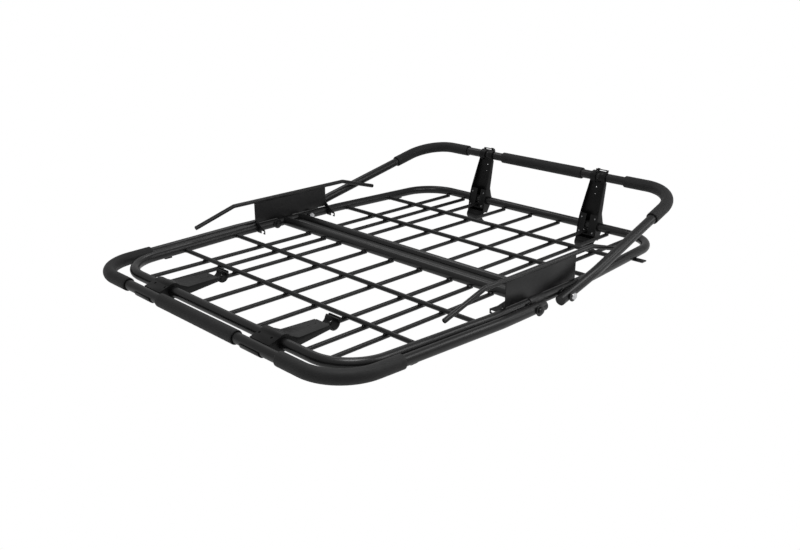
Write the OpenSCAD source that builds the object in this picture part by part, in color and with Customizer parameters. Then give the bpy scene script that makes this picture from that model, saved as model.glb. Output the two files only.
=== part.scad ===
// Roof basket: two half frames joined at the middle, with a folding hoop at each end.
// +X is the rear, -Y is the left side and z = 0 is the underside of the lengthwise deck bars.

/* [Frame] */
// Outer diameter of the frame tube
tube_d = 26.4; // [20:0.2:32]
// Distance from the seam to the axis of each end tube
half_length = 611; // [560:1:700]
// Distance from the centre line to the side tube's axis along its straight middle stretch
side_half_w = 487; // [460:1:520]
// Length of the straight middle stretch on each side of the seam
side_straight = 190; // [170:1:230]
// Angle by which the side tubes close in towards the ends
side_taper = 4.3; // [3:0.1:5.5]
// Bend radius of the frame corners, to the tube's axis
frame_bend_r = 114; // [90:1:130]
// Distance from the seam to the axis of each beam tube
beam_offset = 29.5; // [20:0.5:36]
// Wall of the sleeve over the seam of each side tube
seam_wall = 1.6; // [1:0.1:3]
// Length of the seam sleeve
seam_len = 58; // [40:1:80]
// Length by which the seam sleeve reaches over the rear half
seam_lap = 4; // [2:1:20]

/* [Deck] */
// Diameter of the lengthwise bars
bar_d = 11; // [8:0.5:12]
// Distance from the end tube's axis to the ends of the lengthwise bars
bar_inset = 7; // [5:0.5:8]
// Diameter of the crosswise bars
cross_d = 12; // [8:0.5:13]
// Pitch of the lengthwise bars near the centre line
bar_pitch = 110; // [95:1:115]
// Pitch of the lengthwise bars outside those
edge_pitch = 70; // [60:1:74]
// Distance from the end tube's axis to the outer crosswise bars
cross_inset = 205; // [190:1:230]
// Pitch of the crosswise bars
cross_pitch = 185; // [150:1:210]

/* [Hoops] */
// Outer diameter of the hoop tube
hoop_d = 26.4; // [22:0.2:28]
// Distance from the seam to the hoop hinges
hinge_x = 67; // [55:1:80]
// Height of the hoop hinges above the frame tube's axis
hinge_rise = 0.9; // [0.6:0.1:3]
// Length of the arm's tail beyond the hinge
hoop_tail = 31; // [28:1:45]
// Gap between the side tubes and the hoop arms at the hinges
arm_gap = 6.6; // [5:0.1:9]
// Distance from the hinge to where the arm starts to close in
arm_straight = 123; // [90:1:160]
// Angle by which the hoop arms close in towards the end
arm_taper = 3.7; // [3:0.1:4.5]
// Distance from the end tube's axis to the end stretch of a folded hoop
fold_reach = 55.6; // [51:0.2:63]
// Bend radius of the hoop corners, to the tube's axis
hoop_bend_r = 114; // [95:1:125]
// Angle at which a raised hoop lies in its legs
hoop_raise = 14.1; // [12:0.1:16]
// Length of the end plugs outside the tube
plug_len = 3.5; // [2:0.5:6]

/* [Hinge bolts] */
// Diameter of the hinge bolts
hinge_bolt_d = 10; // [8:0.5:12]
// Diameter of the washers at both ends of a hinge bolt
washer_d = 29; // [22:0.5:30]
// Thickness of those washers
washer_t = 3; // [1.5:0.5:4]
// Width of the bolt heads and nuts over their corners
head_w = 19; // [16:0.5:22]
// Height of the bolt heads and nuts
head_h = 6; // [5:0.5:10]
// Diameter of the spacer between the side tube and the arm
spacer_d = 22; // [16:0.5:26]

/* [Foam] */
// Outer diameter of the foam sleeves
foam_d = 35; // [31:0.5:38]
// Length of the middle foam sleeve
foam_mid_len = 314; // [200:2:340]
// Distance from the centre line to where a corner sleeve ends
foam_corner_y = 311; // [290:1:330]
// Distance from the hoop's end stretch to where a corner sleeve ends on the arm
foam_arm_run = 171.6; // [140:0.2:200]

/* [Legs] */
// Distance from the centre line to the middle of each leg
leg_y = 222; // [210:1:232]
// Width of the leg at the frame tube
leg_foot_w = 68; // [60:1:72]
// Width of the leg at the upper saddle
leg_top_w = 52; // [46:1:58]
// Sheet thickness of the legs
leg_sheet = 2.5; // [1.5:0.1:3]
// Radius of the hood over the frame tube
hood_r = 22; // [19:0.5:24]
// Height of the arm's top plate over the middle of the frame tube
plate_rise = 1.5; // [0:0.5:4]
// Distance from the frame tube's axis to where the top plate levels out
shoulder_u = 42; // [38:1:50]
// Depth of the cheeks under the middle of the frame tube
cheek_deep = 18.5; // [16:0.5:19]
// Depth of the cheeks at the upper saddle
cheek_shallow = 11; // [8:0.5:14]
// Wall of the upper saddle
saddle_wall = 4.6; // [2:0.1:5]
// Wall of the lower saddle
lower_wall = 2.4; // [1.5:0.1:3]
// Width of the slot in the upper saddle, which clears the deck bar below a folded leg
slot_w = 21; // [14:1:24]

/* [Straps] */
// Length of the strap along the hoop tube
strap_len = 46; // [30:1:50]
// Width of the strap
strap_w = 10; // [6:1:12]
// Sheet thickness of the strap
strap_t = 2.5; // [1.5:0.1:3]
// Distance by which the strap's middle lies outside the leg's middle
strap_shift = 8; // [0:1:12]
// Gap between the strap and the saddle
strap_gap = 3; // [2:0.5:6]
// Diameter of the bolt that holds the strap
strap_bolt_d = 6; // [4:0.5:8]

/* [Side plates] */
// Length of the side plates
plate_len = 282; // [240:1:320]
// Sheet thickness of the side plates
plate_sheet = 2.5; // [1.5:0.1:4]
// Height of the side plates above the side tube
plate_h = 64; // [50:1:80]
// Diameter of the rods along the plates
rod_d = 10.5; // [8:0.5:12]
// Offset of the rods from the middle of the side tubes, towards the deck
rod_inset = 1; // [0.5:0.1:3]
// Distance from the end of the plate to the bend of its rod
rod_bend_run = 75; // [50:1:90]
// Distance from the bend of a rod to its end, along the basket
rod_end_run = 134; // [110:1:150]
// Drop of the rod ends below the straight stretch
rod_drop = 39; // [20:1:44]
// Bend radius of the rods
rod_bend_r = 30; // [20:1:60]
// Distance from the side tube's axis by which the gussets reach over the deck
gusset_w = 46; // [38:1:54]
// Height over the side tube's axis at which the gussets leave the plate
gusset_top = 32; // [24:1:50]
// Depth of the gussets' feet under the side tube's axis
gusset_foot = 12; // [8:0.5:14]
// Width of the notch in a gusset's foot, beside the side tube
gusset_notch_w = 14; // [9:1:16]
// Height of that notch
gusset_notch_h = 9; // [7:0.5:12]
// Width of the hook beyond the notch
hook_w = 4; // [3:0.5:6]

/* [Rest tabs] */
// Length of the tabs across the side tubes
tab_len = 40; // [38:1:60]
// Width of the tabs along the side tubes
tab_w = 22; // [16:1:40]
// Thickness of the tabs
tab_t = 4; // [3:0.5:6]
// Distance from the end tube's axis to the middle of the tabs
tab_inset = 151; // [142:1:165]
// Distance by which the tabs reach beyond the side tube's axis
tab_reach = 36; // [30:1:42]

/* [Hidden] */
$fn = 64;
tube_r = tube_d / 2;
hoop_r = hoop_d / 2;
foam_r = foam_d / 2;
// Radial clearance of the foam, the plugs and the seam sleeves on their tubes
seat_gap = 0.2;
// Radial clearance of the hinge bolts and of the legs round the frame tube
hinge_gap = 0.08;
// Radial clearance of the hoop tube in the saddles
saddle_gap = 0.4;
// Clearance of pieces that rest on each other
rest_gap = 0.3;
// Length by which cutters reach past what they cut
cut = 1;
// Depth by which welded pieces sink into each other
weld = 1;
// Rise of a bend over the straight stretches, and the overlap of halves at the centre line
bend_rise = 0.05;
overlap = 2;
// Bend radius where the sides of the tubes start to close in
soft_bend_r = 300;

// Height of the frame tube's axis over the crosswise bars' axes
tube_lift = 2.6;
cross_z = bar_d + cross_d / 2;
tube_z = cross_z + tube_lift;
cross_outer_x = half_length - cross_inset;
cross_inner_x = cross_outer_x - cross_pitch;
tab_x = half_length - tab_inset;
hinge_z = tube_z + hinge_rise;
bar_z = bar_d / 2;
bar_ys = [-2 * bar_pitch - 2 * edge_pitch, -2 * bar_pitch - edge_pitch, -2 * bar_pitch,
    -bar_pitch, 0, bar_pitch,
    2 * bar_pitch, 2 * bar_pitch + edge_pitch, 2 * bar_pitch + 2 * edge_pitch];

// Radius of the room for the hoop tube in the saddles, and over the saddle walls
room_r = hoop_r + saddle_gap;
saddle_r = room_r + saddle_wall;
lower_r = room_r + lower_wall;
// The hoop: distance from the centre line to its arms at the hinges, and from the hinges to its
// end stretch
hoop_half_w = side_half_w + tube_r + arm_gap + hoop_r;
hoop_reach = half_length + fold_reach - hinge_x;
foam_corner_x = hoop_reach - foam_arm_run;
// Where the end stretch of a raised hoop lies from the end tube
raised_x = hinge_x + hoop_reach * cos(hoop_raise) - half_length;
raised_z = hinge_rise + hoop_reach * sin(hoop_raise);
leg_reach = norm([raised_x, raised_z]);
// Turn of a leg between folded and raised
leg_turn = 90 + atan2(raised_x, raised_z);
// The hood's slopes, given by their heights over the tube's axis and by their far ends
slope_top = 21.4;
outer_slope_end = [-44, 8.5];
// Height of the sheet's edge beyond the outer slope
heel = 4;
// Step that keeps joined faces out of one plane
step = 0.2;
// Drop of the upper saddle's lip on the side of the hinge, and its width
lip_drop = 3;
lip_w = 2.4;
// Clearance over the deck bar in the slot
slot_rise = 5;
// Top of the slot over the deck bar, from the frame tube's axis
slot_top = bar_d + slot_rise - tube_z;
// Length of the strap bolts beyond the straps
strap_bolt_end = 2;
// Depth of the cheeks at the lower saddle
lower_depth = 12;
// Height of the side plates' lower edge over the side tube's axis
plate_foot = tube_r + seat_gap + seam_wall + rest_gap;
// The gussets' upper edge falls at this rate to the knee over the notch
gusset_fall = 0.8;
// Where a gusset's foot begins beside the side tube, as a share of the tube's radius
gusset_turn = 0.7;
rod_bend_x = plate_len / 2 + rod_bend_run;
rod_end_x = rod_bend_x + rod_end_run;

// Straight round bar from one point to another
module rod_between(a, b, r) {
    d = b - a;
    translate(a)
    rotate([0, acos(d[2] / norm(d)), atan2(d[1], d[0])])
    cylinder(r = r, h = norm(d));
}

// Bend of a tube in the XY plane, from the angle a0 over the angle span
module bend(centre, bend_r, a0, span, r) {
    translate([centre[0], centre[1], 0])
    rotate([0, 0, a0])
    rotate_extrude(angle = span)
    translate([bend_r, 0])
    circle(r = r);
}

// Left half of a U tube in the plane z = 0, open towards -X. It starts at [start, -half_w],
// runs straight to about x = turn_x, closes in by the taper and bends into the end stretch at
// end_x. The bends are a hair thicker than the stretches that they join, and hold their ends.
module half_u(start, turn_x, half_w, taper, end_x, bend_r, r) {
    c = u_centre(turn_x, half_w, taper, end_x, bend_r);
    along = [cos(taper), sin(taper)];
    turn_start = turn_x - soft_bend_r * tan(taper / 2);
    turn_c = [turn_start, soft_bend_r - half_w];
    turn_end = turn_c + soft_bend_r * [sin(taper), -cos(taper)] - weld * along;
    leave = c + bend_r * [sin(taper), -cos(taper)] + weld * along;
    rod_between([start, -half_w, 0], [turn_start + weld, -half_w, 0], r);
    bend(turn_c, soft_bend_r, -90, taper, r + bend_rise);
    rod_between([turn_end[0], turn_end[1], 0], [leave[0], leave[1], 0], r);
    bend(c, bend_r, taper - 90, 90 - taper, r + bend_rise);
    rod_between([end_x, c[1] - weld, 0], [end_x, overlap, 0], r);
}

// Centre of the corner bend of such a U
function u_centre(turn_x, half_w, taper, end_x, bend_r) =
    let (run = (end_x - bend_r - turn_x + bend_r * sin(taper)) / cos(taper))
    [end_x - bend_r, -half_w + run * sin(taper) + bend_r * cos(taper)];

// Shows its children, which lie on the left side, on both sides
module both_sides() {
    children();
    mirror([0, 1, 0])
    children();
}

// Puts its children, drawn at the rear left, at an end (-1 front, 1 rear)
module at_end(end) {
    if (end < 0) {
        mirror([1, 0, 0])
        children();
    } else {
        children();
    }
}

// Puts its children, drawn on the left, on a side (-1 left, 1 right)
module at_side(side) {
    if (side > 0) {
        mirror([0, 1, 0])
        children();
    } else {
        children();
    }
}

// One half frame's tube: two sides and the end
module frame_tube(end) {
    color("#202020")
    at_end(end)
    translate([0, 0, tube_z])
    difference() {
        both_sides()
        half_u(0, side_straight, side_half_w, side_taper, half_length, frame_bend_r, tube_r);
        both_sides()
        translate([hinge_x, -side_half_w, hinge_rise])
        rotate([90, 0, 0])
        cylinder(d = hinge_bolt_d + 2 * hinge_gap, h = 3 * tube_d, center = true);
    }
}

// Cross tube of one half at the middle
module beam_tube(end) {
    color("#202020")
    difference() {
        at_end(end)
        translate([beam_offset, 0, tube_z])
        rotate([90, 0, 0])
        cylinder(r = tube_r, h = 2 * side_half_w, center = true);
        at_end(end)
        both_sides()
        translate([0, -side_half_w, tube_z])
        rotate([0, 90, 0])
        cylinder(r = tube_r, h = 3 * beam_offset);
    }
}

// Deck of one half: lengthwise bars with two crosswise bars on top of them
module deck_bars(end) {
    color("#1c1c1c")
    at_end(end)
    difference() {
        union() {
            for (y = bar_ys)
                rod_between([beam_offset, y, bar_z], [half_length - bar_inset, y, bar_z],
                    bar_d / 2);
            for (x = [cross_inner_x, cross_outer_x])
                translate([x, 0, cross_z - weld / 2])
                rotate([90, 0, 0])
                cylinder(d = cross_d, h = 2 * (side_half_w - side_drop(x)), center = true);
        }
        translate([0, 0, tube_z])
        both_sides()
        half_u(0, side_straight, side_half_w, side_taper, half_length, frame_bend_r, tube_r);
        translate([beam_offset, 0, tube_z])
        rotate([90, 0, 0])
        cylinder(r = tube_r, h = 2 * side_half_w, center = true);
    }
}

// How far the side tube has closed in at a distance x from the seam
function side_drop(x) = max(0, x - side_straight) * tan(side_taper);

// Sleeve over the seam of one side tube
module seam_sleeve(side) {
    color("#262626")
    at_side(side)
    translate([seam_lap, -side_half_w, tube_z])
    rotate([0, -90, 0])
    difference() {
        cylinder(r = tube_r + seat_gap + seam_wall, h = seam_len);
        translate([0, 0, -weld])
        cylinder(r = tube_r + seat_gap, h = seam_len + 2 * weld);
        translate([-tube_d, 0, -weld])
        cube([2 * tube_d, tube_d, seam_len + 2 * weld]);
    }
}

// Side plate that stands on the side tube, with a gusset turned in at each end
module side_plate(side) {
    color("#202020")
    at_side(side)
    translate([0, -side_half_w, tube_z]) {
        translate([-plate_len / 2, -plate_sheet / 2, plate_foot])
        cube([plate_len, plate_sheet, plate_h]);
        for (end = [-1, 1])
            at_end(end)
            translate([plate_len / 2 - plate_sheet, 0, 0])
            rotate([90, 0, 90])
            linear_extrude(height = plate_sheet)
            gusset_outline();
    }
}

// Gusset seen along the basket: it reaches over the side tube and ends in a notched foot
module gusset_outline() {
    knee = gusset_w / 2;
    knee_z = gusset_top - gusset_fall * knee;
    notch = gusset_w - hook_w - gusset_notch_w;
    difference() {
        polygon([[-plate_sheet / 2, gusset_top], [plate_sheet / 2, gusset_top], [knee, knee_z],
            [gusset_w, 0], [gusset_w, -gusset_foot], [tube_r * gusset_turn, -gusset_foot],
            [-plate_sheet / 2, tube_r]]);
        circle(r = tube_r + rest_gap);
        translate([notch, hook_w - gusset_foot])
        square([gusset_notch_w, gusset_notch_h - hook_w]);
        translate([notch, -gusset_foot - cut])
        square([gusset_notch_w - hook_w, gusset_notch_h + cut]);
    }
}

// Rod along the top of a side plate, turned down at both ends
module side_rod(side) {
    rod_z = tube_z + plate_foot + plate_h + rod_d / 2 - weld;
    slope = atan2(rod_drop, rod_end_x - rod_bend_x);
    bend_x = rod_bend_x - rod_bend_r * tan(slope / 2);
    down = [bend_x + rod_bend_r * sin(slope), rod_bend_r * (cos(slope) - 1)];
    color("#202020")
    at_side(side)
    translate([0, rod_inset - side_half_w, rod_z])
    rotate([90, 0, 0]) {
        rod_between([-bend_x - weld, 0, 0], [bend_x + weld, 0, 0], rod_d / 2);
        for (end = [-1, 1])
            at_end(end) {
                bend([bend_x, -rod_bend_r], rod_bend_r, 90 - slope, slope,
                    rod_d / 2 + bend_rise);
                rod_between([down[0] - weld * cos(slope), down[1] + weld * sin(slope), 0],
                    [rod_end_x, -rod_drop, 0], rod_d / 2);
            }
    }
}

// Flat tongue under the side tube
module rest_tab(end, side) {
    color("#1c1c1c")
    at_end(end)
    at_side(side)
    translate([tab_x - tab_w / 2, -side_half_w + side_drop(tab_x) - tab_reach,
        hinge_z - hoop_r - rest_gap - tab_t])
    cube([tab_w, tab_len, tab_t]);
}

// Hinge bolt through the side tube and the arm, with a spacer between them, and a washer and a
// head or nut at each end
module hinge_bolt(end, side) {
    outer_y = hoop_half_w + hoop_r + rest_gap;
    inner_y = side_half_w - tube_r - rest_gap;
    color("silver")
    at_end(end)
    at_side(side)
    translate([hinge_x, 0, hinge_z])
    rotate([90, 0, 0]) {
        translate([0, 0, inner_y - washer_t])
        cylinder(d = hinge_bolt_d, h = outer_y - inner_y + 2 * washer_t);
        translate([0, 0, side_half_w + tube_r + rest_gap])
        cylinder(d = spacer_d, h = arm_gap - 2 * rest_gap);
        hinge_nut(outer_y);
        translate([0, 0, inner_y])
        mirror([0, 0, 1])
        hinge_nut(0);
    }
}

// Washer and nut on a bolt along Z, from the height z up
module hinge_nut(z) {
    translate([0, 0, z])
    cylinder(d = washer_d, h = washer_t);
    translate([0, 0, z + washer_t - weld])
    cylinder(d = head_w, h = head_h + weld, $fn = 6);
}

// Hoop in its own frame: hinge axis through the origin, lying flat towards +X
module hoop_shape(r) {
    both_sides()
    half_u(-hoop_tail, arm_straight, hoop_half_w, arm_taper, hoop_reach, hoop_bend_r, r);
}

// Puts a flat hoop at its hinge, folded at the front and raised at the rear
module hoop_place(end) {
    at_end(end)
    translate([hinge_x, 0, hinge_z])
    rotate([0, end > 0 ? -hoop_raise : 0, 0])
    children();
}

module hoop_tube(end) {
    color("#242424")
    hoop_place(end)
    difference() {
        hoop_shape(hoop_r);
        rotate([90, 0, 0])
        cylinder(d = hinge_bolt_d + 2 * hinge_gap, h = 3 * hoop_half_w, center = true);
    }
}

// Plugs in the ends of the arms
module hoop_plugs(end) {
    color("#101010")
    hoop_place(end)
    both_sides()
    translate([-hoop_tail, -hoop_half_w, 0])
    rotate([0, -90, 0])
    cylinder(r = hoop_r, h = plug_len);
}

module middle_foam(end) {
    color("#303030")
    hoop_place(end)
    translate([hoop_reach, 0, 0])
    rotate([90, 0, 0])
    difference() {
        cylinder(r = foam_r, h = foam_mid_len, center = true);
        cylinder(r = hoop_r + seat_gap, h = foam_mid_len + 2 * cut, center = true);
    }
}

// Foam sleeve round one corner
module corner_foam(end, side) {
    color("#303030")
    hoop_place(end)
    at_side(side)
    difference() {
        intersection() {
            half_u(0, arm_straight, hoop_half_w, arm_taper, hoop_reach, hoop_bend_r, foam_r);
            translate([foam_corner_x, -2 * hoop_half_w, -foam_d])
            cube([hoop_reach, 2 * hoop_half_w - foam_corner_y, 2 * foam_d]);
        }
        half_u(0, arm_straight, hoop_half_w, arm_taper, hoop_reach, hoop_bend_r,
            hoop_r + seat_gap);
    }
}

// Leg in its own frame: frame tube along Y at the origin, the arm towards +X
module leg_shape() {
    difference() {
        intersection() {
            leg_outline();
            leg_plan(0);
        }
        intersection() {
            leg_cavity();
            leg_plan(leg_sheet);
        }
        along_y(3 * leg_foot_w)
        circle(r = tube_r + hinge_gap);
        translate([leg_reach, 0, 0]) {
            saddle_room();
            translate([-room_r - lip_w, -leg_foot_w, -lip_drop])
            cube([room_r + lip_w, 2 * leg_foot_w, hoop_d]);
        }
        translate([-fold_reach, 0, hinge_rise])
        saddle_room();
    }
}

// Extrudes its flat children, drawn as seen from the left, over a length w across the basket
module along_y(w) {
    rotate([90, 0, 0])
    linear_extrude(height = w, center = true)
    children();
}

// Everything that the leg's sheet encloses, seen from the side
module leg_outline() {
    saddle_w = 2 * leg_foot_w;
    along_y(saddle_w)
    intersection() {
        circle(r = hood_r);
        translate([-hood_r - cut, -cheek_deep])
        square([2 * hood_r + 2 * cut, 2 * hood_r]);
    }
    along_y(saddle_w + cut)
    polygon([[0, slope_top], [shoulder_u, plate_rise], [leg_reach - room_r, 0],
        [leg_reach - room_r, -cheek_shallow], [shoulder_u, step - cheek_deep],
        [0, step - cheek_deep]]);
    along_y(saddle_w + 2 * cut)
    polygon([[0, slope_top - step], [0, cut - cheek_deep], [-fold_reach, -lower_depth],
        [-fold_reach, outer_slope_end[1] - heel], outer_slope_end]);
    translate([leg_reach, 0, 0])
    half_round(saddle_w, saddle_r);
    translate([-fold_reach, 0, hinge_rise])
    half_round(saddle_w, lower_r);
}

// Half of a round bar along Y, below its axis
module half_round(w, r) {
    along_y(w)
    difference() {
        circle(r = r);
        translate([-r - cut, 0])
        square([2 * r + 2 * cut, r + cut]);
    }
}

// The hollow under the hood and the top plate, open downwards between the two saddles
module leg_cavity() {
    end_u = leg_reach - saddle_r + step;
    start_u = -fold_reach + lower_r - step;
    fall = (slope_top - plate_rise) / shoulder_u;
    rise = (slope_top - outer_slope_end[1]) / -outer_slope_end[0];
    top = slope_top - leg_sheet * norm([1, fall]);
    along_y(3 * leg_foot_w)
    polygon([[start_u, -3 * hood_r], [start_u, top + start_u * rise], [0, top],
        [shoulder_u - leg_sheet * fall / 2, plate_rise - leg_sheet], [end_u, -leg_sheet],
        [end_u, -3 * hood_r]]);
    along_y(3 * leg_foot_w)
    circle(r = hood_r - leg_sheet);
}

// The leg seen from above, taken in by t on all sides
module leg_plan(t) {
    foot = leg_foot_w / 2 - t;
    top = leg_top_w / 2 - t;
    far = leg_reach + 2 * saddle_r;
    far_w = foot - (foot - top) * (far - hood_r) / (leg_reach - hood_r);
    translate([0, 0, -3 * hood_r])
    linear_extrude(height = 6 * hood_r)
    polygon([[-2 * fold_reach, -foot], [hood_r, -foot], [far, -far_w], [far, far_w],
        [hood_r, foot], [-2 * fold_reach, foot]]);
}

// Room for the hoop tube in a saddle
module saddle_room() {
    along_y(3 * leg_foot_w)
    circle(r = room_r);
    translate([-room_r, -leg_foot_w, 0])
    cube([2 * room_r, 2 * leg_foot_w, 2 * hoop_d]);
}

// Slot in the bottom of the upper saddle, over the deck bar
module saddle_slot() {
    translate([leg_reach - 2 * saddle_r, 2 * bar_pitch - leg_y - slot_w / 2,
        -tube_z - bar_d])
    cube([4 * saddle_r, slot_w, tube_z + bar_d + slot_top]);
}

// Puts a leg on its end tube, folded at the front and raised at the rear
module leg_place(end, side) {
    at_end(end)
    at_side(side)
    translate([half_length, -leg_y, tube_z])
    mirror([1, 0, 0])
    rotate([0, end > 0 ? -leg_turn : 0, 0])
    children();
}

module leg(end, side) {
    color("#181818")
    leg_place(end, side)
    difference() {
        leg_shape();
        saddle_slot();
    }
}

// Bent strap outside the upper saddle, held by a bolt through the saddle's wall
module strap(end, side) {
    base_u = leg_reach + saddle_r;
    color("#181818")
    leg_place(end, side) {
        translate([base_u + strap_gap, -strap_shift - strap_len / 2, slot_top])
        cube([strap_t, strap_len, strap_w]);
        translate([base_u + rest_gap, -strap_shift + strap_len / 2 - strap_t, slot_top])
        cube([strap_gap, strap_t, strap_w]);
        translate([base_u + rest_gap, 0, slot_top + strap_w / 2])
        rotate([0, 90, 0])
        cylinder(d = strap_bolt_d, h = strap_gap + strap_t + strap_bolt_end);
    }
}

frame_tube(-1);  // front_frame_tube
frame_tube(1);  // rear_frame_tube
beam_tube(-1);  // front_beam_tube
beam_tube(1);  // rear_beam_tube
deck_bars(-1);  // front_deck_bars
deck_bars(1);  // rear_deck_bars
seam_sleeve(-1);  // left_seam_sleeve
seam_sleeve(1);  // right_seam_sleeve
side_plate(-1);  // left_side_plate
side_plate(1);  // right_side_plate
side_rod(-1);  // left_side_rod
side_rod(1);  // right_side_rod
rest_tab(-1, -1);  // front_left_rest_tab
rest_tab(-1, 1);  // front_right_rest_tab
rest_tab(1, -1);  // rear_left_rest_tab
rest_tab(1, 1);  // rear_right_rest_tab
hinge_bolt(-1, -1);  // front_left_hinge_bolt
hinge_bolt(-1, 1);  // front_right_hinge_bolt
hinge_bolt(1, -1);  // rear_left_hinge_bolt
hinge_bolt(1, 1);  // rear_right_hinge_bolt
hoop_tube(-1);  // front_hoop_tube
hoop_tube(1);  // rear_hoop_tube
hoop_plugs(-1);  // front_hoop_plugs
hoop_plugs(1);  // rear_hoop_plugs
middle_foam(-1);  // front_middle_foam
corner_foam(-1, -1);  // front_left_foam
corner_foam(-1, 1);  // front_right_foam
middle_foam(1);  // rear_middle_foam
corner_foam(1, -1);  // rear_left_foam
corner_foam(1, 1);  // rear_right_foam
leg(-1, -1);  // front_left_leg
leg(-1, 1);  // front_right_leg
leg(1, -1);  // rear_left_leg
leg(1, 1);  // rear_right_leg
strap(-1, -1);  // front_left_strap
strap(-1, 1);  // front_right_strap
strap(1, -1);  // rear_left_strap
strap(1, 1);  // rear_right_strap
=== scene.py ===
# Roof basket: two tubular half frames with a bar deck, a folding hoop at each end and foam sleeves.
import math

import bpy
from mathutils import Matrix, Vector


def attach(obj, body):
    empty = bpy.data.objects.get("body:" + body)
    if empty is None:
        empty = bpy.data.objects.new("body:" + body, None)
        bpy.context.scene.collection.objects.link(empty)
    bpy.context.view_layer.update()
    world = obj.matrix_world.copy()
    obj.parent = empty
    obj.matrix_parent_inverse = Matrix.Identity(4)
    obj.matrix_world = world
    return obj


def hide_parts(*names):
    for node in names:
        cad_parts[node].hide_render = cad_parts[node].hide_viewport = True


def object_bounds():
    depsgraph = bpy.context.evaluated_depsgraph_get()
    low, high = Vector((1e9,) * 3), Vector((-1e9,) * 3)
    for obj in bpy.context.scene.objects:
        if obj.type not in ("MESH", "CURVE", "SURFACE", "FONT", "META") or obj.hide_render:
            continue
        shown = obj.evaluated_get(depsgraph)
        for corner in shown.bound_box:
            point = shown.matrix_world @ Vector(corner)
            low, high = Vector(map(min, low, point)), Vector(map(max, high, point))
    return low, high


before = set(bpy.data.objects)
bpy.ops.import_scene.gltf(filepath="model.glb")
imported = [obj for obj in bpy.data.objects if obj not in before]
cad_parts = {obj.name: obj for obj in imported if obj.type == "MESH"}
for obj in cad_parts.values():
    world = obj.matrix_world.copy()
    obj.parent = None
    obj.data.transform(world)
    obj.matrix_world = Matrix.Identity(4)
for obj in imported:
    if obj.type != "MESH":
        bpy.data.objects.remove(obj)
cad_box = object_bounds()


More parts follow.
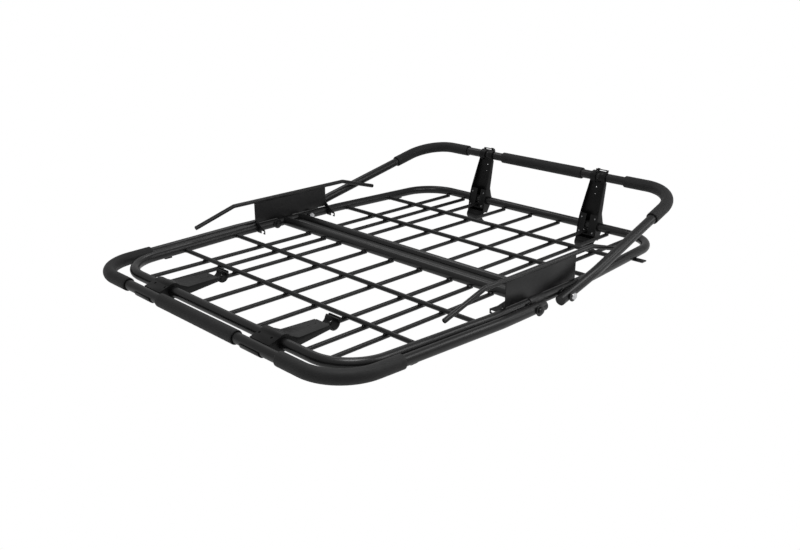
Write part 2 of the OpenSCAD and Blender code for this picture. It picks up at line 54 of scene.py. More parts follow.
# Frame tubes, the two cross beams and the hoop tubes.
# Round steel tube, bent cold and powder coated black after welding.
# The coat is satin with orange peel, slightly cloudy, and rubbed brighter on sharp edges.
def powder_coat(name, shade, rough, peel_scale, peel_depth, edge_shine=0.0, shine=0.5):
    coat = bpy.data.materials.new(name)
    coat.use_nodes = True
    nodes, links = coat.node_tree.nodes, coat.node_tree.links
    shader = nodes["Principled BSDF"]
    shader.inputs["Specular IOR Level"].default_value = shine
    place = nodes.new("ShaderNodeTexCoord")

    cloud = nodes.new("ShaderNodeTexNoise")
    cloud.inputs["Scale"].default_value = 11.0
    cloud.inputs["Detail"].default_value = 5.0
    links.new(place.outputs["Object"], cloud.inputs["Vector"])
    tint = nodes.new("ShaderNodeValToRGB")
    tint.color_ramp.elements[0].position = 0.36
    tint.color_ramp.elements[0].color = (shade * 0.72, shade * 0.72, shade * 0.75, 1)
    tint.color_ramp.elements[1].position = 0.66
    tint.color_ramp.elements[1].color = (shade * 1.28, shade * 1.27, shade * 1.3, 1)
    links.new(cloud.outputs["Fac"], tint.inputs["Fac"])

    dust = nodes.new("ShaderNodeTexNoise")
    dust.inputs["Scale"].default_value = 420.0
    dust.inputs["Detail"].default_value = 2.0
    links.new(place.outputs["Object"], dust.inputs["Vector"])
    speck = nodes.new("ShaderNodeMapRange")
    speck.inputs["From Min"].default_value = 0.66
    speck.inputs["From Max"].default_value = 0.8
    links.new(dust.outputs["Fac"], speck.inputs["Value"])
    dusty = nodes.new("ShaderNodeMix")
    dusty.data_type = "RGBA"
    dusty.inputs["B"].default_value = (shade * 3.5, shade * 3.4, shade * 3.2, 1)
    links.new(speck.outputs["Result"], dusty.inputs["Factor"])
    links.new(tint.outputs["Color"], dusty.inputs["A"])
    colour = dusty.outputs["Result"]

    rub = nodes.new("ShaderNodeMapRange")
    rub.inputs["From Min"].default_value = 0.3
    rub.inputs["From Max"].default_value = 0.7
    rub.inputs["To Min"].default_value = rough + 0.06
    rub.inputs["To Max"].default_value = rough - 0.06
    links.new(cloud.outputs["Fac"], rub.inputs["Value"])
    gloss = rub.outputs["Result"]

    if edge_shine:
        rounded = nodes.new("ShaderNodeBevel")
        rounded.samples = 4
        rounded.inputs["Radius"].default_value = 0.0009
        true_face = nodes.new("ShaderNodeNewGeometry")
        agree = nodes.new("ShaderNodeVectorMath")
        agree.operation = "DOT_PRODUCT"
        links.new(rounded.outputs["Normal"], agree.inputs[0])
        links.new(true_face.outputs["Normal"], agree.inputs[1])
        edge = nodes.new("ShaderNodeMapRange")
        edge.inputs["From Min"].default_value = 0.985
        edge.inputs["From Max"].default_value = 0.9
        edge.inputs["To Max"].default_value = edge_shine
        links.new(agree.outputs["Value"], edge.inputs["Value"])
        worn = nodes.new("ShaderNodeMix")
        worn.data_type = "RGBA"
        worn.inputs["B"].default_value = (shade * 4.5, shade * 4.5, shade * 4.6, 1)
        links.new(edge.outputs["Result"], worn.inputs["Factor"])
        links.new(colour, worn.inputs["A"])
        colour = worn.outputs["Result"]

    peel = nodes.new("ShaderNodeTexNoise")
    peel.inputs["Scale"].default_value = peel_scale
    peel.inputs["Detail"].default_value = 2.0
    links.new(place.outputs["Object"], peel.inputs["Vector"])
    ripple = nodes.new("ShaderNodeTexNoise")
    ripple.inputs["Scale"].default_value = 38.0
    links.new(place.outputs["Object"], ripple.inputs["Vector"])
    soft_bump = nodes.new("ShaderNodeBump")
    soft_bump.inputs["Strength"].default_value = 0.12
    soft_bump.inputs["Distance"].default_value = 0.001
    links.new(ripple.outputs["Fac"], soft_bump.inputs["Height"])
    bump = nodes.new("ShaderNodeBump")
    bump.inputs["Strength"].default_value = peel_depth
    bump.inputs["Distance"].default_value = 0.0004
    links.new(peel.outputs["Fac"], bump.inputs["Height"])
    links.new(soft_bump.outputs["Normal"], bump.inputs["Normal"])

    links.new(colour, shader.inputs["Base Color"])
    links.new(gloss, shader.inputs["Roughness"])
    links.new(bump.outputs["Normal"], shader.inputs["Normal"])
    return coat


def paint(node, coat):
    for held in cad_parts[node].material_slots:
        held.material = coat


tube_coat = powder_coat("tube_coat", 0.013, 0.29, 900.0, 0.07)
for node in ("front_frame_tube", "rear_frame_tube", "front_beam_tube", "rear_beam_tube",
             "front_hoop_tube", "rear_hoop_tube"):
    paint(node, tube_coat)


# Deck bars and their welds.
# Solid round bar, nine lengthwise under two crosswise in each half, welded before coating.
# Each weld is a lumpy bead that the coat has run over and left glossier.
def start_afresh():
    if bpy.context.object and bpy.context.object.mode != "OBJECT":
        bpy.ops.object.mode_set(mode="OBJECT")
    bpy.ops.object.select_all(action="DESELECT")


def copy_to(model, name, matrix):
    piece = bpy.data.objects.new(name, model.data.copy())
    piece.data.name = name
    bpy.context.scene.collection.objects.link(piece)
    piece.data.transform(matrix)
    if matrix.determinant() < 0:
        piece.data.flip_normals()
    return piece


def join(pieces, name):
    start_afresh()
    for piece in pieces:
        piece.select_set(True)
    bpy.context.view_layer.objects.active = pieces[0]
    bpy.ops.object.join()
    whole = bpy.context.object
    whole.name = name
    whole.data.name = name
    return whole


def fit(piece, body, coat=None):
    if coat:
        piece.data.materials.clear()
        piece.data.materials.append(coat)
    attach(piece, body)


bar_coat = powder_coat("bar_coat", 0.008, 0.34, 1100.0, 0.1)
paint("front_deck_bars", bar_coat)
paint("rear_deck_bars", bar_coat)
weld_coat = powder_coat("weld_coat", 0.014, 0.28, 500.0, 0.5)

start_afresh()
bpy.ops.mesh.primitive_torus_add(major_segments=24, minor_segments=8, major_radius=0.0064, minor_radius=0.0016)
ring_bead = bpy.context.object
for corner in ring_bead.data.vertices:
    turn = math.atan2(corner.co.y, corner.co.x)
    corner.co *= 1.0 + 0.045 * math.sin(7 * turn) + 0.02 * math.sin(13 * turn + 1.0)
bpy.ops.object.shade_smooth()

start_afresh()
bpy.ops.mesh.primitive_uv_sphere_add(segments=16, ring_count=8, radius=1.0)
spot_bead = bpy.context.object
for corner in spot_bead.data.vertices:
    lump = 1.0 + 0.12 * math.sin(5 * corner.co.x + 2.0) * math.cos(6 * corner.co.y)
    corner.co = Vector((corner.co.x * 0.0052, corner.co.y * 0.0066, corner.co.z * 0.0022)) * lump
bpy.ops.object.shade_smooth()

bar_rows = [0.0, 0.11, -0.11, 0.22, -0.22, 0.29, -0.29, 0.36, -0.36]
for end, toward in (("front", -1), ("rear", 1)):
    beads = []
    for y in bar_rows:
        lean = Matrix.Rotation(math.radians(35 * toward), 4, "Y")
        beads.append(copy_to(spot_bead, "bead", Matrix.Translation((toward * 0.0405, y, 0.0108)) @ lean))
        lean = Matrix.Rotation(math.radians(-35 * toward), 4, "Y")
        beads.append(copy_to(spot_bead, "bead", Matrix.Translation((toward * 0.5995, y, 0.0108)) @ lean))
        for x in (0.221, 0.406):
            for before in (-1, 1):
                spot = Matrix.Translation((toward * x + before * 0.0042, y, 0.0112))
                beads.append(copy_to(spot_bead, "bead", spot @ Matrix.Scale(0.62, 4)))
    for x, reach in ((0.221, 0.4716), (0.406, 0.4577)):
        for side in (-1, 1):
            ring = Matrix.Translation((toward * x, side * reach, 0.017)) @ Matrix.Rotation(math.pi / 2, 4, "X")
            beads.append(copy_to(ring_bead, "bead", ring))
    fit(join(beads, end + "_deck_welds"), "frame", weld_coat)
bpy.data.objects.remove(ring_bead)
bpy.data.objects.remove(spot_bead)


# Side plates with their gussets, and the foot tabs.
# Steel sheet 2.5 mm thick, folded and cut, with the edges dulled before coating.
# Each plate is welded between the side tube and the rod, and riveted at the gussets.
def finish_edges(node, name, width, coat, body):
    made = bpy.data.objects.new(name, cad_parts[node].data.copy())
    made.data.name = name
    bpy.context.scene.collection.objects.link(made)
    start_afresh()
    made.select_set(True)
    bpy.context.view_layer.objects.active = made
    bpy.ops.object.mode_set(mode="EDIT")
    bpy.ops.mesh.select_all(action="SELECT")
    bpy.ops.mesh.remove_doubles(threshold=0.00001)
    bpy.ops.mesh.dissolve_limited(angle_limit=math.radians(0.5))
    bpy.ops.object.mode_set(mode="OBJECT")
    if width:
        change(made, "BEVEL", width=width, segments=3, limit_method="ANGLE", angle_limit=math.radians(40))
    start_afresh()
    made.select_set(True)
    bpy.context.view_layer.objects.active = made
    bpy.ops.object.shade_smooth_by_angle(angle=math.radians(32))
    fit(made, body, coat)
    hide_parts(node)
    return made


def change(piece, kind, **settings):
    start_afresh()
    piece.select_set(True)
    bpy.context.view_layer.objects.active = piece
    tool = piece.modifiers.new(kind.lower(), kind)
    for key, value in settings.items():
        setattr(tool, key, value)
    bpy.ops.object.modifier_apply(modifier=tool.name)


sheet_coat = powder_coat("sheet_coat", 0.013, 0.36, 800.0, 0.15, 0.5)
for side, out in (("left", -1), ("right", 1)):
    finish_edges(side + "_side_plate", side + "_side_plate_dressed", 0.0006, sheet_coat, "frame")
    for end in ("front", "rear"):
        finish_edges(end + "_" + side + "_rest_tab", end + "_" + side + "_rest_tab_dressed",
                     0.0009, sheet_coat, "frame")

start_afresh()
bpy.ops.mesh.primitive_cylinder_add(vertices=24, radius=0.0042, depth=0.0026)
rivet = bpy.context.object
change(rivet, "BEVEL", width=0.0016, segments=4, limit_method="ANGLE", angle_limit=math.radians(40))
bpy.ops.object.shade_smooth_by_angle(angle=math.radians(40))
rivets = []
for side in (-1, 1):
    for toward in (-1, 1):
        across = Matrix.Rotation(math.pi / 2, 4, "Y")
        rivets.append(copy_to(rivet, "rivet", Matrix.Translation((toward * 0.1412, side * 0.478, 0.0365)) @ across))
fit(join(rivets, "gusset_rivets"), "frame", weld_coat)


# Seam sleeves over the joint of the two half frames.
# A short length of larger split tube, slid over the butt joint and held by a countersunk screw.
sleeve_coat = powder_coat("sleeve_coat", 0.02, 0.38, 700.0, 0.2, 0.4)
screw_coat = powder_coat("screw_coat", 0.006, 0.3, 900.0, 0.1)
for side, out in (("left", -1), ("right", 1)):
    finish_edges(side + "_seam_sleeve", side + "_seam_sleeve_dressed", 0.0005, sleeve_coat, "frame")
screws = []
for side in (-1, 1):
    across = Matrix.Rotation(math.pi / 2, 4, "X")
    screws.append(copy_to(rivet, "screw", Matrix.Translation((0.0095, side * 0.4997, 0.0205)) @ across))
fit(join(screws, "seam_screws"), "frame", screw_coat)
bpy.data.objects.remove(rivet)


# Rods along the side plates, with their end caps.
# Round steel bent down at both ends, welded along the top edge of its plate.
# A pressed plastic cap closes each end.
rod_r, rod_top, rod_turn_r, rod_fall = 0.0061, 0.10315, 0.030, math.atan2(0.039, 0.134)
turn_in = rod_turn_r * math.tan(rod_fall / 2)
level_run, slope_run = 2 * (0.216 - turn_in), 0.134 / math.cos(rod_fall) - turn_in


def push_ring(step, times):
    for _ in range(times):
        bpy.ops.mesh.extrude_edges_move(TRANSFORM_OT_translate={"value": step})


start_afresh()
bpy.ops.mesh.primitive_circle_add(vertices=32, radius=rod_r, fill_type="NGON", location=(-0.35, 0, 0.06415),
                                  rotation=(0, math.pi / 2 - rod_fall, 0))
bpy.ops.object.transform_apply(location=True, rotation=True, scale=True)
rod = bpy.context.object
bpy.ops.object.mode_set(mode="EDIT")
bpy.ops.mesh.select_mode(type="EDGE")
bpy.ops.mesh.select_all(action="SELECT")
bpy.ops.mesh.region_to_loop()
push_ring((slope_run / 6 * math.cos(rod_fall), 0, slope_run / 6 * math.sin(rod_fall)), 6)
bpy.ops.mesh.spin(steps=8, angle=rod_fall, center=(-level_run / 2, 0, rod_top - rod_turn_r), axis=(0, -1, 0))
push_ring((level_run / 18, 0, 0), 18)
bpy.ops.mesh.spin(steps=8, angle=rod_fall, center=(level_run / 2, 0, rod_top - rod_turn_r), axis=(0, -1, 0))
push_ring((slope_run / 6 * math.cos(rod_fall), 0, -slope_run / 6 * math.sin(rod_fall)), 6)
bpy.ops.mesh.fill()
bpy.ops.mesh.select_all(action="SELECT")
bpy.ops.mesh.remove_doubles(threshold=0.00001)
bpy.ops.mesh.normals_make_consistent(inside=False)
bpy.ops.object.mode_set(mode="OBJECT")
bpy.ops.object.shade_smooth_by_angle(angle=math.radians(40))
for side, out in (("left", -1), ("right", 1)):
    bar = copy_to(rod, side + "_rod_bent", Matrix.Translation((0, out * 0.486, 0)))
    fit(bar, "frame", tube_coat)
    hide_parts(side + "_side_rod")
bpy.data.objects.remove(rod)
plastic = powder_coat("plastic", 0.012, 0.5, 1400.0, 0.3)
start_afresh()
bpy.ops.mesh.primitive_cylinder_add(vertices=32, radius=0.0060, depth=0.0024)
rod_cap = bpy.context.object
bpy.ops.object.mode_set(mode="EDIT")
bpy.ops.mesh.select_all(action="DESELECT")
bpy.ops.object.mode_set(mode="OBJECT")
for face in rod_cap.data.polygons:
    face.select = face.normal.z > 0.9
bpy.ops.object.mode_set(mode="EDIT")
bpy.ops.mesh.select_mode(type="FACE")
bpy.ops.mesh.inset(thickness=0.0014, depth=0.0)
bpy.ops.mesh.inset(thickness=0.0003, depth=-0.0007)
bpy.ops.object.mode_set(mode="OBJECT")
change(rod_cap, "BEVEL", width=0.0003, segments=2, limit_method="ANGLE", angle_limit=math.radians(40))
bpy.ops.object.shade_smooth_by_angle(angle=math.radians(40))
rod_caps = []
for side in (-1, 1):
    for toward in (-1, 1):
        along = Matrix.Rotation(toward * (math.pi / 2 + rod_fall), 4, "Y")
        spot = Matrix.Translation((toward * 0.3505, side * 0.486, 0.06400))
        rod_caps.append(copy_to(rod_cap, "rod_cap", spot @ along))
fit(join(rod_caps, "rod_end_caps"), "frame", plastic)
bpy.data.objects.remove(rod_cap)


# Hoop arm plugs.
# A round plastic plug with a dished face closes the tail of each hoop arm behind its hinge.
def hoop_place(toward):
    hinge = Matrix.Translation((toward * 0.067, 0, 0.0205))
    if toward < 0:
        return hinge @ Matrix.Rotation(math.pi, 4, "Z")
    return hinge @ Matrix.Rotation(math.radians(-14.1), 4, "Y")


start_afresh()
bpy.ops.mesh.primitive_cylinder_add(vertices=48, radius=0.0132, depth=0.0035)
arm_plug = bpy.context.object
for face in arm_plug.data.polygons:
    face.select = face.normal.z > 0.9
bpy.ops.object.mode_set(mode="EDIT")
bpy.ops.mesh.select_mode(type="FACE")
bpy.ops.mesh.inset(thickness=0.0034, depth=0.0)
bpy.ops.mesh.inset(thickness=0.0012, depth=-0.0009)
bpy.ops.object.mode_set(mode="OBJECT")
change(arm_plug, "BEVEL", width=0.0009, segments=3, limit_method="ANGLE", angle_limit=math.radians(25))
bpy.ops.object.shade_smooth_by_angle(angle=math.radians(40))
for end, toward in (("front", -1), ("rear", 1)):
    pair = []
    for side in (-1, 1):
        spot = Matrix.Translation((-0.03275, side * 0.52, 0)) @ Matrix.Rotation(-math.pi / 2, 4, "Y")
        pair.append(copy_to(arm_plug, "arm_plug", hoop_place(toward) @ spot))
    plugs = join(pair, end + "_arm_plugs")
    fit(plugs, end + "_hoop", plastic)
    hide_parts(end + "_hoop_plugs")
bpy.data.objects.remove(arm_plug)


# Hinges of the hoops.
# A hex bolt through side tube and arm, a wide washer at each end and a spacer between.
# The front pair is painted black, the rear pair has bright zinc nuts on black washers.
def zinc_plate(name, bright_to):
    bright = bpy.data.materials.new(name)
    bright.use_nodes = True
    nodes, links = bright.node_tree.nodes, bright.node_tree.links
    shader = nodes["Principled BSDF"]
    shader.inputs["Metallic"].default_value = 1.0
    place = nodes.new("ShaderNodeTexCoord")
    bloom = nodes.new("ShaderNodeTexNoise")
    bloom.inputs["Scale"].default_value = 260.0
    bloom.inputs["Detail"].default_value = 4.0
    links.new(place.outputs["Object"], bloom.inputs["Vector"])
    tint = nodes.new("ShaderNodeValToRGB")
    tint.color_ramp.elements[0].color = (bright_to * 0.8, bright_to * 0.81, bright_to * 0.83, 1)
    tint.color_ramp.elements[1].color = (bright_to * 0.99, bright_to * 0.99, bright_to, 1)
    links.new(bloom.outputs["Fac"], tint.inputs["Fac"])
    links.new(tint.outputs["Color"], shader.inputs["Base Color"])
    dull = nodes.new("ShaderNodeMapRange")
    dull.inputs["To Min"].default_value = 0.42
    dull.inputs["To Max"].default_value = 0.22
    links.new(bloom.outputs["Fac"], dull.inputs["Value"])
    links.new(dull.outputs["Result"], shader.inputs["Roughness"])
    bump = nodes.new("ShaderNodeBump")
    bump.inputs["Strength"].default_value = 0.2
    bump.inputs["Distance"].default_value = 0.0002
    links.new(bloom.outputs["Fac"], bump.inputs["Height"])
    links.new(bump.outputs["Normal"], shader.inputs["Normal"])
    return bright


zinc = zinc_plate("zinc", 0.86)
black_steel = powder_coat("black_steel", 0.008, 0.34, 900.0, 0.15, 0.3)


def disc(radius, low, high, sides, soften):
    start_afresh()
    bpy.ops.mesh.primitive_cylinder_add(vertices=sides, radius=radius, depth=high - low,
                                        location=(0, 0, (low + high) / 2))
    bpy.ops.object.transform_apply(location=True, rotation=True, scale=True)
    made = bpy.context.object
    change(made, "BEVEL", width=soften, segments=3, limit_method="ANGLE", angle_limit=math.radians(50))
    return made


def hex_head(radius, low, high):
    head = disc(radius, low, high, 6, 0.0002)
    round_off = disc(radius - 0.0003, low - 0.001, high, 48, 0.0014)
    change(head, "BOOLEAN", operation="INTERSECT", object=round_off, solver="EXACT")
    bpy.data.objects.remove(round_off)
    return head


for end, toward, metal in (("front", -1, black_steel), ("rear", 1, zinc)):
    bright_parts = [hex_head(0.0095, 0.5365, 0.5415), disc(0.005, 0.5405, 0.5425, 32, 0.0007),
                    disc(0.005, 0.4645, 0.4665, 32, 0.0007)]
    inner_nut = hex_head(0.0095, -0.4705, -0.4655)
    inner_nut.data.transform(Matrix.Rotation(math.pi, 4, "X"))
    bright_parts.append(inner_nut)
    bright = join(bright_parts, "bright_parts")
    bright.data.materials.append(metal)
    dark = join([disc(0.0145, 0.5335, 0.5365, 56, 0.0007), disc(0.0145, 0.4705, 0.4735, 56, 0.0007),
                 disc(0.011, 0.5005, 0.5065, 48, 0.0005), disc(0.005, 0.4735, 0.5335, 24, 0.0003)], "dark_parts")
    dark.data.materials.append(black_steel)
    model = join([bright, dark], "hinge_model")
    bpy.ops.object.shade_smooth_by_angle(angle=math.radians(35))
    for side, out in (("left", -1), ("right", 1)):
        axis = Matrix.Translation((toward * 0.067, 0, 0.0205)) @ Matrix.Rotation(-out * math.pi / 2, 4, "X")
        hinge = copy_to(model, end + "_" + side + "_hinge_set", axis)
        fit(hinge, "frame")
        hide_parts(end + "_" + side + "_hinge_bolt")
    bpy.data.objects.remove(model)


# Foam sleeves on the hoops.
# Closed cell foam tube with a moulded skin, slid over the bare hoop before it was bent shut.
# One long piece in the middle and one round each corner, their cut ends slightly rounded.
def foam_skin(name):
    skin = bpy.data.materials.new(name)
    skin.use_nodes = True
    nodes, links = skin.node_tree.nodes, skin.node_tree.links
    shader = nodes["Principled BSDF"]
    shader.inputs["Specular IOR Level"].default_value = 0.35
    shader.inputs["Sheen Weight"].default_value = 0.12
    shader.inputs["Sheen Roughness"].default_value = 0.5
    place = nodes.new("ShaderNodeTexCoord")
    mottle = nodes.new("ShaderNodeTexNoise")
    mottle.inputs["Scale"].default_value = 26.0
    mottle.inputs["Detail"].default_value = 6.0
    links.new(place.outputs["Object"], mottle.inputs["Vector"])
    tint = nodes.new("ShaderNodeValToRGB")
    tint.color_ramp.elements[0].position = 0.35
    tint.color_ramp.elements[0].color = (0.0165, 0.0165, 0.017, 1)
    tint.color_ramp.elements[1].position = 0.7
    tint.color_ramp.elements[1].color = (0.026, 0.026, 0.0265, 1)
    links.new(mottle.outputs["Fac"], tint.inputs["Fac"])
    cells = nodes.new("ShaderNodeTexVoronoi")
    cells.inputs["Scale"].default_value = 850.0
    links.new(place.outputs["Object"], cells.inputs["Vector"])
    pit = nodes.new("ShaderNodeMapRange")
    pit.inputs["From Max"].default_value = 0.6
    pit.inputs["To Min"].default_value = 0.8
    pit.inputs["To Max"].default_value = 1.1
    links.new(cells.outputs["Distance"], pit.inputs["Value"])
    grainy = nodes.new("ShaderNodeMix")
    grainy.data_type = "RGBA"
    grainy.blend_type = "MULTIPLY"
    grainy.inputs["Factor"].default_value = 1.0
    links.new(tint.outputs["Color"], grainy.inputs["A"])
    links.new(pit.outputs["Result"], grainy.inputs["B"])
    links.new(grainy.outputs["Result"], shader.inputs["Base Color"])
    dull = nodes.new("ShaderNodeMapRange")
    dull.inputs["To Min"].default_value = 0.5
    dull.inputs["To Max"].default_value = 0.66
    links.new(mottle.outputs["Fac"], dull.inputs["Value"])
    links.new(dull.outputs["Result"], shader.inputs["Roughness"])
    soft = nodes.new("ShaderNodeBump")
    soft.inputs["Strength"].default_value = 0.3
    soft.inputs["Distance"].default_value = 0.0015
    links.new(mottle.outputs["Fac"], soft.inputs["Height"])
    fine = nodes.new("ShaderNodeBump")
    fine.inputs["Strength"].default_value = 0.35
    fine.inputs["Distance"].default_value = 0.0004
    links.new(cells.outputs["Distance"], fine.inputs["Height"])
    links.new(soft.outputs["Normal"], fine.inputs["Normal"])
    links.new(fine.outputs["Normal"], shader.inputs["Normal"])
    return skin


foam_material = foam_skin("foam_skin")
foam_outer, foam_wall = 0.0174, 0.0039
hoop_reach, corner_x, corner_y, bend_r = 0.5996, 0.4856, 0.3823, 0.114
taper = math.radians(3.7)


def give_wall(sleeve):
    bpy.ops.object.mode_set(mode="EDIT")
    bpy.ops.mesh.select_all(action="SELECT")
    bpy.ops.mesh.remove_doubles(threshold=0.00001)
    bpy.ops.mesh.normals_make_consistent(inside=False)
    bpy.ops.object.mode_set(mode="OBJECT")
    change(sleeve, "SOLIDIFY", thickness=foam_wall, offset=-1.0)
    change(sleeve, "BEVEL", width=0.0013, segments=4, limit_method="ANGLE", angle_limit=math.radians(50))
    bpy.ops.object.shade_smooth_by_angle(angle=math.radians(50))


start_afresh()
bpy.ops.mesh.primitive_circle_add(vertices=48, radius=foam_outer, fill_type="NOTHING",
                                  location=(hoop_reach, -0.157, 0), rotation=(math.pi / 2, 0, 0))
bpy.ops.object.transform_apply(location=True, rotation=True, scale=True)
middle = bpy.context.object
bpy.ops.object.mode_set(mode="EDIT")
bpy.ops.mesh.select_mode(type="EDGE")
bpy.ops.mesh.select_all(action="SELECT")
push_ring((0, 0.314 / 24, 0), 24)
bpy.ops.object.mode_set(mode="OBJECT")
give_wall(middle)

start_afresh()
bpy.ops.mesh.primitive_circle_add(vertices=48, radius=foam_outer, fill_type="NOTHING",
                                  location=(hoop_reach, -0.311, 0), rotation=(math.pi / 2, 0, 0))
bpy.ops.object.transform_apply(location=True, rotation=True, scale=True)
corner = bpy.context.object
bpy.ops.object.mode_set(mode="EDIT")
bpy.ops.mesh.select_mode(type="EDGE")
bpy.ops.mesh.select_all(action="SELECT")
push_ring((0, -(corner_y - 0.311) / 6, 0), 6)
bpy.ops.mesh.spin(steps=30, angle=math.pi / 2 - taper, center=(corner_x, -corner_y, 0), axis=(0, 0, 1))
arm_run = (corner_x + bend_r * math.sin(taper) - 0.428) / math.cos(taper)
push_ring((-arm_run / 6 * math.cos(taper), -arm_run / 6 * math.sin(taper), 0), 6)
bpy.ops.object.mode_set(mode="OBJECT")
give_wall(corner)

mirror_y = Matrix.Scale(-1, 4, (0, 1, 0))
for end, toward in (("front", -1), ("rear", 1)):
    sleeves = {end + "_middle": (middle, Matrix.Identity(4)), end + "_left": (corner, Matrix.Identity(4)),
               end + "_right": (corner, mirror_y)}
    for name, (model, turn) in sleeves.items():
        if toward < 0 and model is corner:
            turn = turn @ mirror_y
        sleeve = copy_to(model, name + "_foam_sleeve", hoop_place(toward) @ turn)
        fit(sleeve, end + "_hoop", foam_material)
        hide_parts(name + "_foam")
bpy.data.objects.remove(middle)
bpy.data.objects.remove(corner)


# Legs that carry the hoops, and their straps.
# Pressed from 2.5 mm sheet: a hood round the end tube, a tapering channel and a saddle at each end.
# A clamp riveted under the hood holds the leg on the tube. A strap plate crosses the upper saddle.
press_coat = powder_coat("press_coat", 0.007, 0.36, 800.0, 0.15, 0.5, 0.28)
strap_coat = powder_coat("strap_coat", 0.008, 0.4, 900.0, 0.15, 0.5, 0.3)
rivet_zinc = zinc_plate("rivet_zinc", 0.5)


def leg_place(end, out):
    side = Matrix.Scale(-out, 4, (0, 1, 0))
    if end == "front":
        return Matrix.Translation((-0.611, out * 0.222, 0.0196)) @ side
    up, fore = 0.9689, 0.2474
    turn = Matrix(((fore, 0, up, 0), (0, 1, 0, 0), (up, 0, -fore, 0), (0, 0, 0, 1)))
    return Matrix.Translation((0.611, out * 0.222, 0.0196)) @ turn @ side


def drill(piece, cutter):
    change(piece, "BOOLEAN", operation="DIFFERENCE", object=cutter, solver="EXACT")
    bpy.data.objects.remove(cutter)


def peg(radius, u, v, low, high):
    made = disc(radius, low, high, 24, 0.0001)
    made.data.transform(Matrix.Translation((u, v, 0)))
    return made


def block(low, high):
    start_afresh()
    bpy.ops.mesh.primitive_cube_add(size=1.0, location=[(a + b) / 2 for a, b in zip(low, high)])
    bpy.context.object.dimensions = [b - a for a, b in zip(low, high)]
    bpy.ops.object.transform_apply(location=True, rotation=True, scale=True)
    return bpy.context.object


def smooth(piece, degrees):
    start_afresh()
    piece.select_set(True)
    bpy.context.view_layer.objects.active = piece
    bpy.ops.object.shade_smooth_by_angle(angle=math.radians(degrees))


clamp_plate = block((-0.030, -0.03125, -0.0171), (0.034, 0.03125, -0.0155))
clamp_gap = block((-0.0262, -0.0055, -0.022), (0.05, 0.0095, -0.012))
change(clamp_gap, "BEVEL", width=0.004, segments=4, limit_method="ANGLE", angle_limit=math.radians(40))
drill(clamp_plate, clamp_gap)
change(clamp_plate, "BEVEL", width=0.0004, segments=2, limit_method="ANGLE", angle_limit=math.radians(40))
smooth(clamp_plate, 35)
clamp_heads = join([peg(0.0023, u, v, -0.0186, -0.0165) for u in (-0.0225, 0.0215)
                    for v in (-0.0235, 0.0235)], "clamp_heads")
smooth(clamp_heads, 35)
leg_holes = join([peg(0.003, -0.0205, -0.017, 0.004, 0.03), peg(0.003, -0.0205, 0.027, 0.004, 0.03),
                  peg(0.0014, 0.0985, 0.005, -0.005, 0.006), peg(0.0019, 0.1195, 0.005, -0.005, 0.006)], "leg_holes")

# the upper saddle is lined by a wider jaw with a raised outer wall, slotted for the deck bar below it
def lay_across(piece, u):
    piece.data.transform(Matrix.Translation((u, 0, 0)) @ Matrix.Rotation(-math.pi / 2, 4, "X"))
    return piece


saddle_u = 0.15169
jaw = lay_across(disc(0.0179, -0.0225, 0.0225, 64, 0.0003), saddle_u)
drill(jaw, block((0.12, -0.03, 0.0), (0.19, 0.03, 0.03)))
wall = block((0.1655, -0.0225, -0.004), (0.16955, 0.0225, 0.0045))
change(jaw, "BOOLEAN", operation="UNION", object=wall, solver="EXACT")
bpy.data.objects.remove(wall)
drill(jaw, lay_across(disc(0.0138, -0.03, 0.03, 64, 0.0003), saddle_u))
bar_room = disc(0.0067, 0.12, 0.19, 32, 0.0003)
bar_room.data.transform(Matrix.Translation((0, 0.002, -0.0141)) @ Matrix.Rotation(math.pi / 2, 4, "Y"))
drill(jaw, bar_room)
drill(jaw, block((0.12, -0.0047, -0.03), (0.19, 0.0087, -0.0141)))
change(jaw, "BEVEL", width=0.0004, segments=2, limit_method="ANGLE", angle_limit=math.radians(50))
smooth(jaw, 35)
saddle_bolt = disc(0.0013, 0.0134, 0.0148, 20, 0.0003)
saddle_bolt.data.transform(Matrix.Translation((saddle_u, 0.0004, 0)) @ Matrix.Rotation(math.radians(117), 4, "Y"))
smooth(saddle_bolt, 35)

# the strap plate is bent down at its outer end and stands on a foot at its inner end
strap_bar = block((0.1718, -0.0215, -0.0036), (0.1749, 0.018, 0.0064))
strap_foot = block((0.1700, 0.0156, -0.0036), (0.1722, 0.018, 0.0064))
strap_lip = block((0.1697, -0.0215, -0.0036), (0.1722, -0.0191, 0.0064))
for part in (strap_foot, strap_lip):
    change(strap_bar, "BOOLEAN", operation="UNION", object=part, solver="EXACT")
    bpy.data.objects.remove(part)
change(strap_bar, "BEVEL", width=0.0006, segments=3, limit_method="ANGLE", angle_limit=math.radians(40))
strap_stud = disc(0.003, 0.1699, 0.1745, 24, 0.0002)
strap_head = disc(0.0046, 0.1748, 0.1768, 32, 0.0011)
strap_bolt = join([strap_stud, strap_head], "strap_bolt")
strap_bolt.data.transform(Matrix.Translation((0, 0.0105, 0.0014)) @ Matrix.Rotation(math.pi / 2, 4, "Y"))
strap_model = join([strap_bar, strap_bolt], "strap_model")
smooth(strap_model, 35)

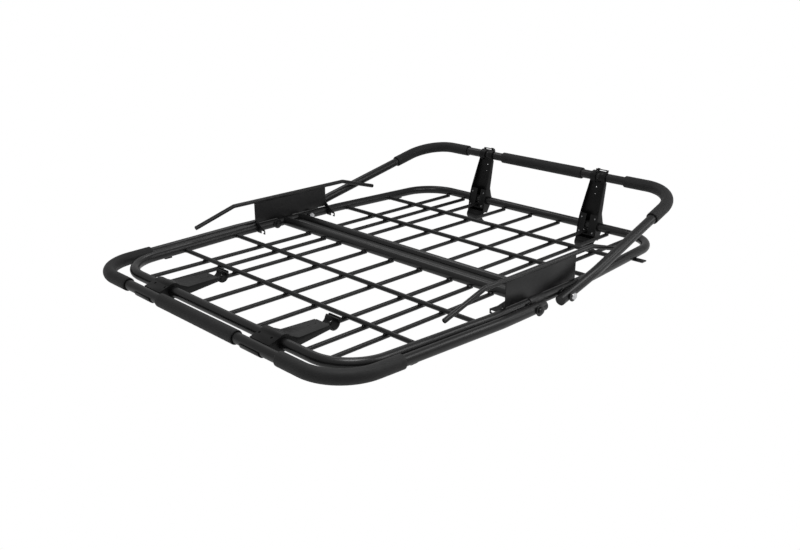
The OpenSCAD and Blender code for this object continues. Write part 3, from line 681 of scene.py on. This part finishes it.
for end in ("front", "rear"):
    for side, out in (("left", -1), ("right", 1)):
        name = end + "_" + side
        place = leg_place(end, out)
        leg = finish_edges(name + "_leg", name + "_leg_dressed", 0.0007, press_coat, name + "_leg")
        drill(leg, copy_to(leg_holes, "cutter", place))
        smooth(leg, 32)
        clamp = copy_to(clamp_plate, name + "_clamp_plate", place)
        fit(clamp, name + "_leg", press_coat)
        lining = copy_to(jaw, name + "_saddle_jaw", place)
        fit(lining, name + "_leg", press_coat)
        bolt = copy_to(saddle_bolt, name + "_saddle_bolt", place)
        fit(bolt, name + "_leg", rivet_zinc)
        rivets = copy_to(clamp_heads, name + "_clamp_rivets", place)
        fit(rivets, name + "_leg", rivet_zinc)
        strap = copy_to(strap_model, name + "_strap_dressed", place)
        fit(strap, name + "_leg", strap_coat)
        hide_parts(name + "_strap")
for model in (clamp_plate, clamp_heads, leg_holes, jaw, saddle_bolt, strap_model):
    bpy.data.objects.remove(model)


# The room: a pale floor and a white surround.
# The floor lies just under the lowest piece; it looks white to the camera and keeps the shadow.
def seen_white(nodes, links, shine):
    seen = nodes.new("ShaderNodeLightPath")
    total = seen.outputs["Is Camera Ray"]
    for ray, share in (("Is Glossy Ray", shine), ("Is Transmission Ray", 1.0)):
        add = nodes.new("ShaderNodeMath")
        add.operation = "MULTIPLY_ADD"
        add.inputs[1].default_value = share
        links.new(seen.outputs[ray], add.inputs[0])
        links.new(total, add.inputs[2])
        total = add.outputs[0]
    return total


start_afresh()
floor_z = cad_box[0][2] - 0.001
bpy.ops.mesh.primitive_plane_add(size=600.0, location=(0.0, 0.0, floor_z))
floor = bpy.context.object
floor.name = "floor"
floor_paint = bpy.data.materials.new("floor_paint")
floor_paint.use_nodes = True
nodes, links = floor_paint.node_tree.nodes, floor_paint.node_tree.links
nodes["Principled BSDF"].inputs["Base Color"].default_value = (0.8, 0.8, 0.8, 1)
nodes["Principled BSDF"].inputs["Roughness"].default_value = 0.8
glow = nodes.new("ShaderNodeEmission")
either = nodes.new("ShaderNodeMixShader")
links.new(seen_white(nodes, links, 0.42), either.inputs["Fac"])
links.new(nodes["Principled BSDF"].outputs["BSDF"], either.inputs[1])
links.new(glow.outputs["Emission"], either.inputs[2])
links.new(either.outputs["Shader"], nodes["Material Output"].inputs["Surface"])
floor.data.materials.append(floor_paint)


# Light: a dim even surround and six square soft boxes.
# A small box over the near front corner draws the highlight on its bend, one low box lights the near side.
world = bpy.data.worlds.new("surround")
bpy.context.scene.world = world
world.use_nodes = True
nodes, links = world.node_tree.nodes, world.node_tree.links
sky = nodes["Background"]
sky.inputs["Color"].default_value = (1, 1, 1, 1)
sky.inputs["Strength"].default_value = 0.05
white = nodes.new("ShaderNodeBackground")
white.inputs["Color"].default_value = (1, 1, 1, 1)
white.inputs["Strength"].default_value = 1.0
either = nodes.new("ShaderNodeMixShader")
links.new(seen_white(nodes, links, 0.336), either.inputs["Fac"])
links.new(sky.outputs["Background"], either.inputs[1])
links.new(white.outputs["Background"], either.inputs[2])
links.new(either.outputs["Shader"], nodes["World Output"].inputs["Surface"])


def soft_box(name, place, aim, size, watts):
    lamp = bpy.data.lights.new(name, "AREA")
    lamp.shape = "SQUARE"
    lamp.size = size
    lamp.energy = watts
    holder = bpy.data.objects.new(name, lamp)
    bpy.context.scene.collection.objects.link(holder)
    holder.location = place
    holder.rotation_euler = (Vector(aim) - Vector(place)).to_track_quat("-Z", "Y").to_euler()


soft_box("near_middle", (0.1, -1.3, 1.2), (0.05, -0.65, 0), 0.6, 3.4)
soft_box("front_near", (-1.1, -1.0, 1.4), (-0.5, -0.5, 0), 0.9, 0.8)
soft_box("corner_top", (-0.58, -0.43, 1.15), (-0.58, -0.43, 0), 0.4, 4.3)
soft_box("rear_near", (0.8, -1.0, 1.2), (0.4, -0.5, 0), 0.6, 2.4)
soft_box("far", (0.5, 0.9, 1.3), (0.25, 0.45, 0), 0.6, 1.8)
soft_box("rear_low", (1.4, -1.4, 0.6), (0.7, -0.7, 0), 0.6, 1.6)


# Camera at the photograph's angle.
lens = bpy.data.cameras.new("camera")
lens.lens = 40.0
lens.sensor_width = 36.0
camera = bpy.data.objects.new("camera", lens)
bpy.context.scene.collection.objects.link(camera)
azimuth, elevation, reach = math.radians(-45.0), math.radians(20.02), 2.3408
aim = (-0.1216, -0.1209, 0.017)
camera.location = (aim[0] + reach * math.sin(azimuth) * math.cos(elevation),
                   aim[1] - reach * math.cos(azimuth) * math.cos(elevation),
                   aim[2] + reach * math.sin(elevation))
camera.rotation_euler = (math.pi / 2 - elevation, 0.0, azimuth)
bpy.context.scene.camera = camera
bpy.context.scene.view_settings.view_transform = "Standard"
